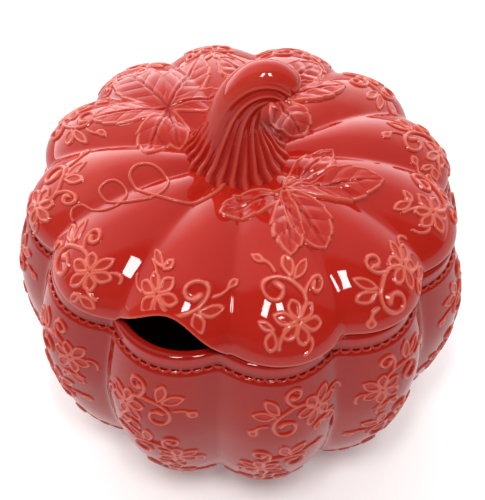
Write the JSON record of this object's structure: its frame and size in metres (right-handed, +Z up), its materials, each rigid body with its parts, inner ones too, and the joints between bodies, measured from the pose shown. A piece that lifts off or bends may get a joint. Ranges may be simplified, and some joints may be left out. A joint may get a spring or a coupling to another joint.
{
  "type": "lidded soup tureen",
  "caption": "Red glazed ceramic pumpkin tureen: ribbed bowl, lift-off domed lid with a ladle notch and a curved stem handle, leaf, tendril and flower relief.",
  "frame": {"origin": "on the floor, under the bowl's axis", "axes": "+Z up, -Y towards the lid's ladle notch"},
  "size_m": [0.2568, 0.2568, 0.2362],
  "materials": {
    "red_glaze": "glossy",
    "relief_glaze": "glossy",
    "stem_glaze": "glossy",
    "bare_foot": "matte"
  },
  "bodies": {
    "bowl": {"bowl_wall": "red_glaze", "bowl_lip": "red_glaze", "beaded_border": "relief_glaze", "foot_ring": "bare_foot", "bowl_upper_sprig_01": "relief_glaze", "bowl_upper_sprig_02": "relief_glaze", "bowl_upper_sprig_03": "relief_glaze", "bowl_upper_sprig_04": "relief_glaze", "bowl_upper_sprig_05": "relief_glaze", "bowl_upper_sprig_06": "relief_glaze", "bowl_upper_sprig_07": "relief_glaze", "bowl_upper_sprig_08": "relief_glaze", "bowl_upper_sprig_09": "relief_glaze", "bowl_upper_sprig_10": "relief_glaze", "bowl_upper_sprig_11": "relief_glaze", "bowl_upper_sprig_12": "relief_glaze", "bowl_lower_sprig_01": "relief_glaze", "bowl_lower_sprig_02": "relief_glaze", "bowl_lower_sprig_03": "relief_glaze", "bowl_lower_sprig_04": "relief_glaze", "bowl_lower_sprig_05": "relief_glaze", "bowl_lower_sprig_06": "relief_glaze", "bowl_lower_sprig_07": "relief_glaze", "bowl_lower_sprig_08": "relief_glaze", "bowl_lower_sprig_09": "relief_glaze", "bowl_lower_sprig_10": "relief_glaze", "bowl_lower_sprig_11": "relief_glaze", "bowl_lower_sprig_12": "relief_glaze"},
    "lid": {"lid_wall": "red_glaze", "lid_flange": "red_glaze", "stem_handle": "stem_glaze", "leaf_left": "relief_glaze", "leaf_right": "relief_glaze", "leaf_front": "relief_glaze", "tendril": "relief_glaze", "lid_sprig_01": "relief_glaze", "lid_sprig_02": "relief_glaze", "lid_sprig_03": "relief_glaze", "lid_sprig_04": "relief_glaze", "lid_sprig_05": "relief_glaze", "lid_sprig_06": "relief_glaze", "lid_sprig_07": "relief_glaze", "lid_sprig_08": "relief_glaze", "lid_sprig_09": "relief_glaze", "lid_sprig_10": "relief_glaze", "lid_sprig_11": "relief_glaze", "lid_sprig_12": "relief_glaze"}
  },
  "joints": [
    {"name": "lid_lift", "type": "slide", "parent": "bowl", "child": "lid", "axis": [0, 0, 1], "range_m": [0, 0.12]}
  ]
}
